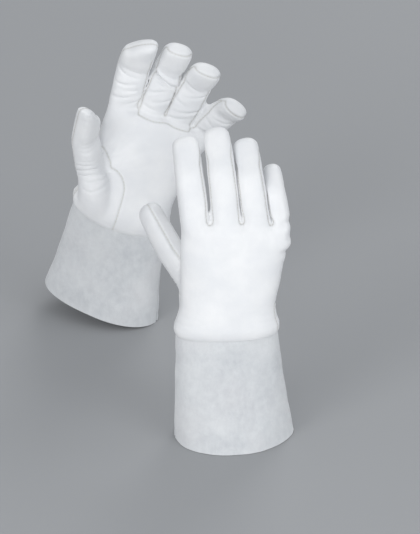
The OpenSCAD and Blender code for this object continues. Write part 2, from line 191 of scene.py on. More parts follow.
# ---------- the frame's rest pose, in hand coordinates ----------
class Hand:
    """Where one glove's joints are, in its hand coordinates, and how to get from those to the frame."""

    def __init__(self, side):
        self.side = side
        self.mirror = 1 if side == "right" else -1
        wrist = JOINTS[f"{side}_wrist_bend"]
        self.origin = np.array(wrist["pos_m"]) / MM
        x = unit(wrist["axis"]) * -self.mirror
        up = unit(np.array(JOINTS[f"{side}_middle_bend"]["pos_m"]) / MM - self.origin)
        palmward = self.mirror * np.cross(up, x)
        slope = math.atan2(HINGE_Y, PALM_LENGTH)
        z = math.cos(slope) * up - math.sin(slope) * palmward
        y = math.sin(slope) * up + math.cos(slope) * palmward
        self.axes = np.stack([x, y, z], axis=1)
        self.fingers = [self.digit(name) for name in FINGERS]
        self.base_x = [finger[0][0] for finger in self.fingers]
        self.thumb = self.digit("thumb")
        self.seam_bend = WRIST_TILT[side] - SEAM_TILT[side]
        self.seam_axes = self.axes @ turn((1, 0, 0), self.seam_bend)

    def local(self, point):
        return (np.asarray(point, float) - self.origin) @ self.axes

    def world(self, points):
        return points @ self.axes.T + self.origin

    def digit(self, name):
        """(base, 3x3 axes, first segment's length, bend at its second hinge) in hand coordinates."""
        first = JOINTS[f"{self.side}_{name}_bend"]
        second = JOINTS[f"{self.side}_{name}_tip_bend"]
        base = self.local(np.array(first["pos_m"]) / MM)
        tip = self.local(np.array(second["pos_m"]) / MM)
        x = unit(np.array(first["axis"]) * -self.mirror @ self.axes)
        z = unit(tip - base)
        axes = np.stack([x, np.cross(z, x), z], axis=1)
        return base, axes, np.linalg.norm(tip - base), -second["range_deg"][0]


def fan_axes(index):
    return turn((0, 1, 0), FAN[index])


# ---------- the straight skin ----------
def ring(half_width, half_depth, exponent, count=48):
    t = np.linspace(0, 2 * math.pi, count, endpoint=False)
    c = np.cos(t)
    s = np.sin(t)
    x = half_width * np.sign(c) * np.abs(c) ** (2 / exponent)
    y = half_depth * np.sign(s) * np.abs(s) ** (2 / exponent)
    return np.stack([x, y, np.zeros(count)], axis=1)


def slit_drop(x):
    """How much lower the slits between the fingers start, towards the little finger."""
    return np.interp(x, (13, 38, 62), (0, 1.5, 6))


def crotch_height(x):
    return PALM_LENGTH - slit_drop(x)


HAND_LEFT = ((-14, 0, 6, 15, 27, 45, 70, 95, 108), (-50, -50.5, -51.5, -48, -44, -44, -43.5, -42.5, -42))
HAND_RIGHT = ((-14, 0, 6, 15, 27, 45, 70, 78, 84, 92, 101, 106, 112),
              (50, 50.5, 51.5, 48.5, 48, 52, 56, 57, 61.5, 64.5, 61.8, 62.3, 64))
HAND_DEPTH = ((-14, 0, 6, 18, 40, 70, 92, 108), (23.5, 24, 25, 22.5, 21.5, 19, 16, 13.5))


def hand_rings():
    rings = []
    for z in (-14, -8, -3, 0, 3, 6, 10, 15, 21, 27, 36, 45, 57, 70, 82, 92, 99, 104, 107, 108.4, 109):
        low = np.interp(z, *HAND_LEFT)
        high = np.interp(z, *HAND_RIGHT)
        shrink = math.sqrt(max(0.05, 1 - max(0, (z - 103) / 6.2) ** 2))
        r = ring((high - low) / 2 * (0.9 + 0.1 * shrink), np.interp(z, *HAND_DEPTH) * shrink, 2.35, 96)
        r[:, 0] += (low + high) / 2
        r[:, 2] = z - slit_drop(r[:, 0]) * max(0, z / PALM_LENGTH) ** 3
        rings.append(r)
    return rings


def digit_rings(half, length, base_widths, first, cap):
    """Rings of a straight finger or thumb, from inside the hand to its rounded tip."""
    rings = []
    heights = list(np.linspace(first, length - cap, 12)) + [length - cap * (1 - math.sin(a))
                                                            for a in np.linspace(0.2, 1.54, 8)]
    for z in heights:
        grow = np.interp(z / length, *base_widths)
        u = max(0.0, (z - (length - cap)) / cap)
        end = max(0.06, (1 - u ** 2.6) ** (1 / 2.3))
        flatten = 1 - 0.12 * max(0.0, z / length) ** 2
        r = ring(half[0] * grow * end, half[1] * grow * flatten * end, 2.5)
        r[:, 2] = z
        rings.append(r)
    return rings


FINGER_WIDTHS = {
    "right": ((-0.3, 0.0, 0.13, 0.3, 0.55, 0.85, 1.0), (0.90, 0.91, 0.96, 0.98, 0.94, 0.90, 0.86)),
    "left": ((-0.3, 0.0, 0.13, 0.3, 0.55, 0.85, 1.0), (0.84, 0.85, 0.92, 0.98, 1.0, 0.97, 0.94)),
}
THUMB_WIDTHS = ((-0.35, 0.0, 0.2, 0.45, 0.8, 1.0), (1.12, 1.06, 1.01, 0.98, 0.92, 0.86))


def add_loft(verts, faces, rings):
    """Closed lofted solid through the rings."""
    start = len(verts)
    count = len(rings[0])
    for r in rings:
        verts.extend(r)
    for level in range(len(rings) - 1):
        low = start + level * count
        for i in range(count):
            j = (i + 1) % count
            faces.append((low + i, low + j, low + count + j, low + count + i))
    faces.append(tuple(start + i for i in reversed(range(count))))
    faces.append(tuple(start + (len(rings) - 1) * count + i for i in range(count)))


def thenar_rings(hand):
    """The muscle at the root of the thumb, from the wrist seam up towards the thumb's hinge."""
    rings = []
    base, axes, _, _ = hand.thumb
    foot = np.array([-24.0, 6.0, -2.0])
    head = base - axes[:, 2] * 4
    for u in np.linspace(0, 1, 9):
        r = ring(21 - 5.5 * u, 14 + 3.5 * math.sin(math.pi * u), 2.1)
        centre = foot * (1 - u) + head * u
        rings.append(r + centre)
    return rings


def straight_skin(hand):
    """One closed mesh of the hand, four straight fingers and the thumb, as (points, quads)."""
    verts = []
    faces = []
    add_loft(verts, faces, hand_rings())
    add_loft(verts, faces, thenar_rings(hand))
    for i, (base, _, _, _) in enumerate(hand.fingers):
        half = (HALF_WIDTH[hand.side][i], HALF_DEPTH[hand.side][i])
        rings = digit_rings(half, LENGTH[hand.side][i], FINGER_WIDTHS[hand.side], -20, 10)
        axes = fan_axes(i)
        reach = LENGTH[hand.side][i]
        for r in rings:
            fall = TIP_SLANT[hand.side][i] * smooth(r[:, 2], reach - 28, reach)
            r[:, 0] += 0.3 * fall * (half[0] - r[:, 0])
            r[:, 2] -= fall * (half[0] - r[:, 0])
            r[:, 1] -= HINGE_Y
        add_loft(verts, faces, [r @ axes.T + base for r in rings])
    base, axes, _, _ = hand.thumb
    reach = THUMB_REACH[hand.side]
    rings = digit_rings(THUMB_HALF, reach, THUMB_WIDTHS, -24, 12)
    for r in rings:
        near_tip = smooth(r[:, 2], reach - 40, reach)
        fall = THUMB_SLANT[hand.side] * near_tip
        r[:, 0] -= 0.3 * fall * (r[:, 0] + THUMB_HALF[0])
        r[:, 0] += THUMB_SWEEP[hand.side] * (np.clip(r[:, 2], 0, None) / reach) ** 1.3
        r[:, 2] -= fall * (r[:, 0] + THUMB_HALF[0])
        r[:, 1] -= THUMB_HINGE_Y
    add_loft(verts, faces, [r @ axes.T + base for r in rings])
    return remeshed(verts, faces)


def evaluated(mesh, *modifiers):
    """The mesh after modifiers, each given as (type, settings), as arrays of points and quads."""
    obj = new_object("working", mesh)
    for kind, settings in modifiers:
        modifier = obj.modifiers.new(kind, kind)
        for key, value in settings.items():
            setattr(modifier, key, value)
    result = obj.evaluated_get(bpy.context.evaluated_depsgraph_get()).to_mesh()
    points = np.zeros(len(result.vertices) * 3)
    result.vertices.foreach_get("co", points)
    corners = np.zeros(len(result.loops), int)
    result.loops.foreach_get("vertex_index", corners)
    bpy.data.objects.remove(obj)
    bpy.data.meshes.remove(mesh)
    return points.reshape(-1, 3), corners.reshape(-1, 4)


def new_mesh(points, faces):
    mesh = bpy.data.meshes.new("skin")
    mesh.from_pydata([tuple(p) for p in points], [], [tuple(int(i) for i in f) for f in faces])
    return mesh


def remeshed(verts, faces):
    mesh = new_mesh(verts, faces)
    return evaluated(
        mesh,
        ("REMESH", {"mode": "VOXEL", "voxel_size": VOXEL}),
        ("SMOOTH", {"factor": 0.5, "iterations": 7}),
    )


def subdivided(points, quads):
    return evaluated(new_mesh(points, quads), ("SUBSURF", {"levels": 1, "render_levels": 1}))


# ---------- which part of the hand a straight point belongs to ----------
class Measure:
    """Distances of straight points to the fingers, thumb, seams and joints. All in millimetres."""

    def __init__(self, hand, points):
        x, _, z = points.T
        self.points = points
        self.seam_lean = THUMB_SEAM_LEAN[hand.side]
        self.cap = CAP[hand.side]
        by_finger = np.stack([(points - finger[0]) @ fan_axes(i) for i, finger in enumerate(hand.fingers)])
        widths = HALF_WIDTH[hand.side]
        closeness = np.abs(by_finger[:, :, 0]) / np.array(widths)[:, None]
        self.finger = closeness.argmin(axis=0)
        pick = np.arange(len(points))
        self.along = by_finger[self.finger, pick]
        self.half = np.array(widths)[self.finger]
        self.length = np.array(LENGTH[hand.side])[self.finger]
        self.segment = np.array([f[2] for f in hand.fingers])[self.finger]
        base, axes, _, _ = hand.thumb
        t = (points - base) @ axes
        self.thumb = t
        radius = np.hypot(t[:, 0], t[:, 1] + THUMB_HINGE_Y)
        reach = 19.5 - 0.03 * np.clip(t[:, 2], 0, 99)
        self.on_thumb = np.minimum(reach - radius, t[:, 2] + 14)
        self.above_slits = z - crotch_height(x)
        self.above_slits = np.where(self.on_thumb > 0, -5, self.above_slits)

    def on_outer_side(self):
        """True on the sides that face no other finger, where the back meets the palm directly."""
        across = self.along[:, 0]
        return ((self.finger == 0) & (across < 0)) | ((self.finger == 3) & (across > 0))

    def sideways(self):
        """Distance from the finger's middle line as a share of its half width."""
        return np.abs(self.along[:, 0]) / self.half

    def strip(self):
        """Half width of the fourchette strip, which narrows to a point near the fingertip."""
        left = self.length - self.cap - 7 - self.along[:, 2]
        width = STRIP * np.clip(left / 20, 0, 1)
        return np.where(self.on_outer_side(), 0, width)

    def over_tip(self):
        """Grows past the point where the back panel starts to wrap over the fingertip."""
        return 6 * np.clip(self.along[:, 2] - (self.length - self.cap - 2), 0, None)

    def front(self):
        """Above zero on the palm side panels."""
        value = self.points[:, 1] - self.strip() - self.over_tip()
        return np.where(self.on_thumb > 0, 5, value)

    def back(self):
        """Below zero on the back panel."""
        value = self.points[:, 1] + self.strip() - self.over_tip()
        return np.where(self.on_thumb > 0, 5, value)

    def two_fingers(self):
        """Above zero on the separate front panel of the middle and ring fingers."""
        x, y, z = self.points.T
        line = crotch_height(x) - 1.2 - 2.4 * np.abs(np.sin((x + 10.7) / 28.7 * math.pi))
        inner = (self.finger == 1) | (self.finger == 2)
        return np.where(inner & (y > 0), z - line, -1)

    def thumb_panel(self):
        """Above zero on the wing thumb, which reaches over the ball of the thumb to the wrist seam."""
        x, y, z = self.points.T
        dx = np.clip(x + 26, 0, None)
        dz = np.clip(z - 28, 0, None)
        wing = 21 - np.hypot(dx, dz)
        wing = np.where(y > 3, wing, -3)
        return np.maximum(wing, self.on_thumb)

    def thumb_halves(self):
        """Above zero on the pad side of the thumb, below on its nail side."""
        t = self.thumb
        fade = smooth(-t[:, 2], 0, 16)
        split = t[:, 1] + THUMB_HINGE_Y + 0.6 * np.clip(-t[:, 0], 0, None)
        split = split + self.seam_lean * np.clip(t[:, 0], 0, None)
        return split * (1 - fade) + (self.points[:, 1] - 1) * fade


def seam_rise(side, x):
    """How much higher than a flat ring the wrist seam runs, towards the thumb's side."""
    return SEAM_RISE[side] * smooth(-x, 8, 48)


def posed(hand, points):
    """Straight points bent to the rest pose, still in hand coordinates."""
    m = Measure(hand, points)
    out = points.copy()
    for i, (base, axes, segment, flex) in enumerate(hand.fingers):
        mine = (m.finger == i) & (m.above_slits > -2)
        q = m.along[mine]
        share = np.clip(q[:, 2], 0, None) / LENGTH[hand.side][i]
        curve = LEAN[hand.side][i] * share + SWEEP[hand.side][i] * share ** 2
        q = np.column_stack([q[:, 0] + curve, q[:, 1], q[:, 2] - segment])
        zone = 0.28 * segment
        q = turned(q, (1, 0, 0), -math.radians(flex) * smooth(q[:, 2], -zone, zone))
        q = q + [0, 0, segment]
        fan = fan_axes(i)
        move = axes @ fan.T
        angle = math.acos(np.clip((np.trace(move) - 1) / 2, -1, 1))
        axis = unit([move[2, 1] - move[1, 2], move[0, 2] - move[2, 0], move[1, 0] - move[0, 1]])
        share = smooth(m.along[mine][:, 2], -5, 0.4 * segment)
        out[mine] = turned(q @ fan.T, axis, angle * share) + base
    base, axes, segment, flex = hand.thumb
    mine = (m.on_thumb > 0) & (m.thumb[:, 2] > segment - 12)
    q = m.thumb[mine] - [0, 0, segment]
    q = turned(q, (1, 0, 0), -math.radians(flex) * smooth(q[:, 2], -12, 12))
    out[mine] = (q + [0, 0, segment]) @ axes.T + base
    out[:, 2] += seam_rise(hand.side, points[:, 0]) * (1 - smooth(points[:, 2], 0, 45))
    bend = math.radians(hand.seam_bend)
    share = (1 - np.clip(points[:, 2] / WRIST_BEND_HEIGHT, -0.3, 1)) ** 2
    return turned(out, (1, 0, 0), bend * share)


# ---------- cloth-like relaxation: the leather keeps its flat lengths and buckles where it is bent ----------
RELAX_STEPS = 90
DRIFT = 2.6                        # no point moves further than this from where it was bent to


def relaxed(rest, target, quads):
    edges = np.concatenate([quads[:, [0, 1]], quads[:, [1, 2]], quads[:, [2, 3]], quads[:, [3, 0]]])
    edges = distinct(edges)
    braces = np.concatenate([quads[:, [0, 2]], quads[:, [1, 3]]])
    links = np.concatenate([edges, braces])
    a, b = links.T
    count = len(rest)
    length = np.linalg.norm(rest[a] - rest[b], axis=1)
    share = np.bincount(a, minlength=count) + np.bincount(b, minlength=count)
    ea, eb = edges.T
    ring_size = np.bincount(ea, minlength=count) + np.bincount(eb, minlength=count)

    def summed(index_a, index_b, value_a, value_b):
        total = np.empty((count, 3))
        for k in range(3):
            total[:, k] = np.bincount(index_a, value_a[:, k], count)
            total[:, k] += np.bincount(index_b, value_b[:, k], count)
        return total

    rng = np.random.default_rng(7)
    now = target + rng.normal(0, 0.12, target.shape)
    for _ in range(RELAX_STEPS):
        d = now[b] - now[a]
        size = np.linalg.norm(d, axis=1)
        push = d * (0.5 * (1 - length / np.maximum(size, 1e-6)))[:, None]
        now = now + 1.5 * summed(a, b, push, -push) / share[:, None]
        off = now - target
        around = summed(ea, eb, off[eb], off[ea]) / ring_size[:, None]
        off = off * 0.86 + around * 0.14
        off *= 0.985
        size = np.linalg.norm(off, axis=1)
        off *= np.minimum(1, DRIFT / np.maximum(size, 1e-6))[:, None]
        now = target + off
    return now


# ---------- cutting panels ----------
SNAP = 0.25                        # share of an edge within which a point moves onto the cut
SEAM_STEP = 0.8                    # distance between the samples on a seam


class Skin:
    """A triangle mesh with straight and posed positions, cut along seams."""

    def __init__(self, straight, shaped, quads):
        self.straight = straight
        self.shaped = shaped
        self.tris = np.concatenate([quads[:, [0, 1, 2]], quads[:, [0, 2, 3]]])

    def cut(self, value):
        """Cuts the triangles along value 0. A point close to the cut moves onto it."""
        value = value.copy()
        edges = distinct(triangle_edges(self.tris))
        a, b = edges[value[edges[:, 0]] * value[edges[:, 1]] < 0].T
        t = value[a] / (value[a] - value[b])
        near = np.minimum(t, 1 - t)
        for k in np.argsort(-near)[np.sort(-near) > -SNAP]:
            end, other, share = (a[k], b[k], t[k]) if t[k] < 0.5 else (b[k], a[k], 1 - t[k])
            if value[end] == 0 or value[other] == 0:
                continue
            for array in (self.straight, self.shaped):
                array[end] = array[end] * (1 - share) + array[other] * share
            value[end] = 0
        edges = edges[value[edges[:, 0]] * value[edges[:, 1]] < 0]
        a, b = edges.T
        t = (value[a] / (value[a] - value[b]))[:, None]
        first = len(self.straight)
        self.straight = np.concatenate([self.straight, self.straight[a] * (1 - t) + self.straight[b] * t])
        self.shaped = np.concatenate([self.shaped, self.shaped[a] * (1 - t) + self.shaped[b] * t])
        value = np.concatenate([value, np.zeros(len(a))])
        middle = {(int(p), int(q)): first + k for k, (p, q) in enumerate(edges)}
        sign = np.sign(value)[self.tris]
        split = (sign.min(axis=1) < 0) & (sign.max(axis=1) > 0)
        pieces = [self.tris[~split]]
        extra = []
        for tri, signs in zip(self.tris[split], sign[split]):
            if (signs == 0).any():
                k = int(np.argmin(np.abs(signs)))
                o, p, q = (int(tri[(k + i) % 3]) for i in range(3))
                m = middle[min(p, q), max(p, q)]
                extra += [(o, p, m), (o, m, q)]
            else:
                k = int(np.argmax(signs * signs.sum() < 0))
                o, p, q = (int(tri[(k + i) % 3]) for i in range(3))
                m = middle[min(o, p), max(o, p)]
                n = middle[min(o, q), max(o, q)]
                extra += [(o, m, n), (m, p, q), (m, q, n)]
        if extra:
            pieces.append(np.array(extra))
        self.tris = np.concatenate(pieces)

    def keep(self, faces):
        """Drops the other faces and the points they leave unused."""
        self.tris = self.tris[faces]
        used = np.unique(self.tris)
        number = np.full(len(self.straight), -1)
        number[used] = np.arange(len(used))
        self.tris = number[self.tris]
        self.straight = self.straight[used]
        self.shaped = self.shaped[used]

    def centres(self):
        return self.straight[self.tris].mean(axis=1)

    def normals(self):
        return vertex_normals(self.shaped, self.tris)


def chains(edges):
    """The edges joined end to end, as lists of points."""
    around = {}
    for a, b in edges:
        around.setdefault(int(a), []).append(int(b))
        around.setdefault(int(b), []).append(int(a))
    ends = [v for v, near in around.items() if len(near) != 2]
    done = set()
    lines = []
    for start in ends + list(around):
        for step in around[start]:
            if (start, step) in done:
                continue
            line = [start]
            here, ahead = start, step
            while (here, ahead) not in done:
                done.add((here, ahead))
                done.add((ahead, here))
                line.append(ahead)
                onward = [v for v in around[ahead] if (ahead, v) not in done]
                if len(around[ahead]) != 2 or not onward:
                    break
                here, ahead = ahead, onward[0]
            if len(line) > 3:
                lines.append(line)
    return lines


def distances(line):
    """How far along the line each of its points is."""
    return np.concatenate([[0], np.cumsum(np.linalg.norm(np.diff(line, axis=0), axis=1))])


def resampled(at, along, rows):
    return np.stack([np.interp(at, along, rows[:, k]) for k in range(3)], axis=1)


def directions_of(line):
    direction = np.gradient(line, axis=0)
    return direction / np.maximum(np.linalg.norm(direction, axis=1), 1e-9)[:, None]


def seam_samples(skin, lines, normals):
    """Evenly spaced (place, normal, direction, distance along) rows on the seam lines."""
    rows = []
    for line in lines:
        p = skin.shaped[line]
        s = distances(p)
        if s[-1] < 6:
            continue
        at = np.arange(SEAM_STEP / 2, s[-1] - SEAM_STEP / 2, SEAM_STEP)
        place = resampled(at, s, p)
        normal = resampled(at, s, normals[line])
        if len(at) > 6:
            pad = np.pad(place, ((2, 2), (0, 0)), "edge")
            place = (pad[:-4] + pad[1:-3] + pad[2:-2] + pad[3:-1] + pad[4:]) / 5
        rows.append(np.column_stack([place, normal, directions_of(place), at]))
    return rows


# ---------- creases and folds of the worn leather ----------
# finger, height above the slits, slope across the finger, depth, where it is deepest, how far it reaches
FINGER_FOLDS = (
    (0, 6, 0.25, 0.9, 6, 9), (0, 15, 0.35, 1.0, -9, 13), (0, 22, 0.15, 0.6, 4, 8),
    (0, 29, 0.30, 0.9, -10, 12), (0, 38, -0.15, 1.0, -8, 12), (0, 46, -0.30, 0.5, 3, 10),
    (1, 8, -0.15, 0.6, -5, 9), (1, 17, 0.25, 0.7, 6, 10), (1, 29, 0.50, 1.0, -6, 10),
    (1, 36, -0.1, 0.9, 6, 9), (1, 41, -0.45, 2.6, -3, 22), (1, 49, -0.35, 0.4, 6, 8),
    (2, 7, 0.35, 1.1, -3, 13), (2, 15, 0.25, 1.2, 7, 12), (2, 23, -0.10, 0.6, -6, 8),
    (2, 33, 0.30, 0.9, 9, 10), (2, 44, -0.25, 0.8, -5, 10),
    (3, 6, 0.30, 0.8, 2, 12), (3, 17, -0.15, 0.5, -5, 8), (3, 27, 0.25, 0.7, 4, 9),
)
# how far each finger is nipped in at its middle knuckle
NIPS = np.array((0.6, 2.0, 1.2, 0.5))
# direction in degrees from the root of the thumb, width in degrees, depth
PALM_FOLDS = ((52.0, 3.4, 0.55), (38.0, 4.0, 0.50), (24.0, 3.6, 0.35), (64.0, 3.2, 0.35))


def crease(distance, depth):
    """Profile across a crease: a narrow valley with the leather bulging above it."""
    above = 0.55 * bump(distance, 3.4, 2.5)
    below = 0.25 * bump(distance, -3.2, 2.0)
    return depth * (above + below - bump(distance, 0, 1.3))


def valleys(place, levels, width):
    """Lines pressed in where the place is at a level, given as pairs of level and depth."""
    return -sum(depth * bump(place, level, width) for level, depth in levels)


class Worn:
    """The skin before its folds: where each point is, and the noise that makes every fold uneven."""

    def __init__(self, hand, m):
        self.hand = hand
        self.m = m
        self.palm_side = smooth(m.points[:, 1], -3, 6)
        self.on_finger = smooth(m.above_slits, -2, 6)
        self.off_finger = 1 - self.on_finger
        self.wave = value_noise(m.points, 19.0, 3) * 2.4
        self.fade = 0.55 + 0.45 * value_noise(m.points, 13.0, 5)

    def unevenness(self):
        p = self.m.points
        return 0.55 * value_noise(p, 36.0, 1) + 0.26 * value_noise(p, 17.0, 2) + 0.07 * value_noise(p, 7.0, 4)

    def finger_creases(self):
        """Creases across the fronts of the fingers and a swelling over each middle knuckle."""
        m = self.m
        across, _, up = m.along.T
        out = 0.45 * bump(up, m.segment, 9) * (1 - self.palm_side) * self.on_finger
        for finger, height, slope, depth, middle, spread in FINGER_FOLDS:
            mine = (m.finger == finger) * self.on_finger * self.palm_side * bump(across, middle, spread)
            off = up + 0.5 * self.wave - height - slope * across - 0.014 * across ** 2
            out += crease(off, depth) * mine * (0.5 + self.fade)
        return out

    def finger_sides(self):
        """The sides of the fingers are nipped in at the middle knuckle's crease."""
        m = self.m
        on_side = smooth(m.sideways(), 0.55, 0.95) * self.on_finger * self.palm_side
        return -NIPS[m.finger] * bump(m.along[:, 2] + self.wave, m.segment + 1.5, 2.6) * on_side

    def finger_roots(self):
        """Two creases above the slits, on the palm side."""
        lines = valleys(self.m.along[:, 2] + self.wave, ((3.0, 0.45), (10.0, 0.25)), 2.0)
        return lines * self.palm_side * self.fade

    def outer_edge(self):
        """The outer edge of the hand bulges between two notches below the little finger."""
        x, _, z = self.m.points.T
        return valleys(z + 0.5 * self.wave, ((105.0, 2.2), (80.0, 1.8)), 3.0) * smooth(x, 50, 60)

    def knuckle_hollows(self):
        """Hollows that run down from the slits over the back, between the knuckles."""
        x, _, z = self.m.points.T
        base = self.hand.base_x
        slits = [((a + b) / 2, 0.5) for a, b in zip(base[:-1], base[1:])]
        lines = valleys(x + self.wave * 0.4, slits, 3.4)
        return lines * smooth(z, 76, 106) * self.off_finger * (1 - self.palm_side)

    def palm_folds(self):
        """Soft folds that fan out over the palm from the root of the thumb, and the hollow beside it."""
        x, _, z = self.m.points.T
        palm = self.palm_side * smooth(z, 8, 20) * self.off_finger * smooth(self.m.thumb_panel(), 2, -8)
        angle = np.degrees(np.arctan2(z - 34, x + 44)) + 0.8 * self.wave
        reach = np.hypot(x + 44, z - 34)
        fan = smooth(reach, 16, 30) * (1 - smooth(reach, 60, 88)) * palm
        out = 0
        for direction, width, depth in PALM_FOLDS:
            out -= depth * bump(angle, direction, width) * fan
            out += 0.6 * depth * bump(angle, direction + 7, width) * fan
        hollow = 2.0 * bump(x, -18, 14) * bump(z, 66, 16) + 2.2 * bump(x, -30, 7) * bump(z, 60, 12)
        return out - hollow * self.palm_side * self.off_finger

    def waist(self):
        """Creases above the wrist seam, at the sides of the hand."""
        x, _, z = self.m.points.T
        lines = valleys(z + 1.4 * self.wave, ((9.5, 0.22), (15.0, 0.38), (22.0, 0.30)), 2.0)
        return lines * smooth(np.abs(x), 18, 46) * self.fade

    def thumb_drags(self):
        """Drag lines round the root of the thumb and creases over its middle joint."""
        m = self.m
        across, depth, up = m.thumb.T
        near = smooth(-np.abs(up + 3), -22, -6) * smooth(m.thumb_panel(), -2, 4)
        drag = np.clip(np.sin(up * 1.05 + 0.16 * across + 1.3 * self.wave), 0, 1) ** 2
        pad = smooth(depth, -6, 4) * smooth(m.on_thumb, 0, 2)
        joint = self.hand.thumb[2]
        lines = valleys(up + self.wave, ((joint - 6, 0.6), (joint - 1, 0.6), (joint + 4, 0.6)), 2.0)
        return lines * pad * self.fade - 1.25 * drag * near * smooth(self.fade, 0.25, 0.75)


def folds(hand, m):
    """How far each point stands out or in from the smooth skin."""
    worn = Worn(hand, m)
    out = worn.unevenness() + worn.finger_creases()
    # the sides stay calm, so that neighbouring fingers meet cleanly
    out *= 1 - 0.8 * smooth(m.sideways(), 0.75, 1.0) * worn.on_finger
    out += worn.finger_sides() + worn.finger_roots() + worn.outer_edge() + worn.knuckle_hollows()
    return out + worn.palm_folds() + worn.waist() + worn.thumb_drags()


def groove(distance, along):
    """Profile across a seam: a fine gutter between two rolled edges, gathered a little by the stitches."""
    gutter = -0.6 * np.exp(-((distance / 0.7) ** 2))
    rolls = 0.15 * bump(distance, 2.2, 1.4)
    gathers = 0.06 * np.cos(along * 2 * math.pi / 3.6) * bump(distance, 2.2, 1.6)
    return gutter + rolls + gathers


# ---------- pieces ----------
MATERIALS = {}                     # one for each slot, made at the end


def build_piece(name, side, points, tris, normals, slot, painted_shade):
    """A closed shell of leather: the outer skin, its inside and its cut edges."""
    used, inverse = np.unique(tris, return_inverse=True)
    faces = inverse.reshape(-1, 3)
    outer = points[used]
    n = normals[used]
    count = len(used)
    edges = triangle_edges(faces)
    key = np.sort(edges, axis=1) @ [count, 1]
    _, first, times = np.unique(key, return_index=True, return_counts=True)
    rim = edges[first[times == 1]]
    a, b = rim.T
    walls = np.concatenate([
        np.stack([b, a, a + count], axis=1),
        np.stack([b, a + count, b + count], axis=1)])
    everything = np.concatenate([faces, faces[:, ::-1] + count, walls])
    if side == "left":
        everything = everything[:, ::-1]
    mesh = bpy.data.meshes.new(name)
    co = np.concatenate([outer, outer - n * THICKNESS[slot]])
    mesh.vertices.add(len(co))
    mesh.vertices.foreach_set("co", (co * MM).ravel())
    mesh.loops.add(everything.size)
    mesh.loops.foreach_set("vertex_index", everything.ravel().astype(np.int32))
    mesh.polygons.add(len(everything))
    mesh.polygons.foreach_set("loop_start", np.arange(0, everything.size, 3, dtype=np.int32))
    mesh.update()
    mesh.polygons.foreach_set("use_smooth", np.ones(len(everything), bool))
    # painted shade near the seams, which the materials mix into the colour
    attribute = mesh.attributes.new("painted_shade", "FLOAT", "POINT")
    attribute.data.foreach_set("value", np.tile(painted_shade[used], 2).astype(np.float32))
    mesh.materials.append(MATERIALS[slot])
    mesh.validate()
    mesh.normals_split_custom_set_from_vertices([tuple(v) for v in np.concatenate([n, -n])])
    obj = new_object(name, mesh)
    return obj


HAND_STITCH = (-0.42, 1.05, 0.21)  # height over the leather, half length and radius
CUFF_STITCH = (0.15, 1.25, 0.34)
# place along the stitch, height and radius, as shares of its half length and radius
STITCH_PROFILE = ((-1.0, -0.5, 0.55), (-0.72, 0.1, 1.0), (0.0, 0.35, 1.08),
                  (0.72, 0.1, 1.0), (1.0, -0.5, 0.55))
STITCH_SIDES = 6


def stitch_mesh(name, places, normals, directions, stitch):
    """One short thread loop per place, as a bent six-sided rod that dips into the leather at both ends."""
    lift, half, radius = stitch
    angles = 2 * math.pi * np.arange(STITCH_SIDES)[:, None] / STITCH_SIDES
    verts = []
    faces = []
    for p, n, d in zip(places, normals, directions):
        n = unit(n)
        around = np.cos(angles) * unit(np.cross(d, n)) + np.sin(angles) * n
        add_loft(verts, faces, [
            (p + d * (s * half) + n * (lift + h * radius) + around * radius * r) * MM
            for s, h, r in STITCH_PROFILE])
    mesh = bpy.data.meshes.new(name)
    mesh.from_pydata([tuple(v) for v in verts], [], faces)
    mesh.polygons.foreach_set("use_smooth", np.ones(len(faces), bool))
    mesh.materials.append(MATERIALS["thread"])
    obj = new_object(name, mesh)
    return obj


# ---------- zones round the joints that the groups of pieces lie across ---
def blend_zones(hand):
    """group -> (body a, body b, start, end) in metres, in the frame."""
    side = hand.side
    zones = {}
    seam_up = hand.seam_axes[:, 2]
    zones["hand"] = (f"{side}_cuff", f"{side}_hand", hand.origin - seam_up * 14, hand.origin + seam_up * 22)

    def end_zone(name, digit, reach):
        """The zone round a digit's middle joint, that far to each side of it."""
        base, axes, segment, flex = digit
        along = unit(hand.axes @ axes[:, 2])
        middle = hand.world(base[None])[0] + along * segment
        tip_along = unit(hand.axes @ (axes @ turn((1, 0, 0), -flex))[:, 2])
        rise = unit(along + tip_along)
        reach = rise * reach
        zones[f"{name}_end"] = (f"{side}_{name}", f"{side}_{name}_end", middle - reach, middle + reach)

    for name, finger in zip(FINGERS, hand.fingers):
        base, axes, segment, _ = finger
        low = hand.world(base[None])[0]
        rise = unit(unit(hand.axes @ axes[:, 2]) + hand.axes[:, 2])
        high = low + rise * 0.52 * segment
        zones[f"{name}_root"] = (f"{side}_hand", f"{side}_{name}", low + rise * 3.5, high)
        end_zone(name, finger, 0.28 * segment)
    base, axes, _, _ = hand.thumb
    low = hand.world(base[None])[0]
    along = unit(hand.axes @ axes[:, 2])
    zones["thumb_root"] = (f"{side}_hand", f"{side}_thumb", low + along * 4, low + along * 19)
    end_zone("thumb", hand.thumb, 10)
    return zones


def bend_piece(obj):
    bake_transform(obj)


def cad_nodes(side, group, panel):
    """The frame's nodes that a piece stands for."""
    if group == "hand":
        names = {"back": ["back_panel"], "palm": ["palm_panel"], "thumb_front": ["thumb_gusset"],
                 "strips": ["finger_crotches"]}
        return [f"{side}_{n}" for n in names.get(panel, [])]
    if group.startswith("thumb"):
        node = "thumb_base" if group == "thumb_root" else "thumb_tip"
        return [f"{side}_{node}"] if panel == "thumb_front" else []
    finger, where = group.split("_")
    if where == "root":
        wall = {"back": "back", "palm": "front", "two_fingers": "front", "strips": "sides"}.get(panel)
    else:
        wall = {"back": "tip_back", "palm": "tip_front", "two_fingers": "tip_front"}.get(panel)
    return [f"{side}_{finger}_{wall}"] if wall else []


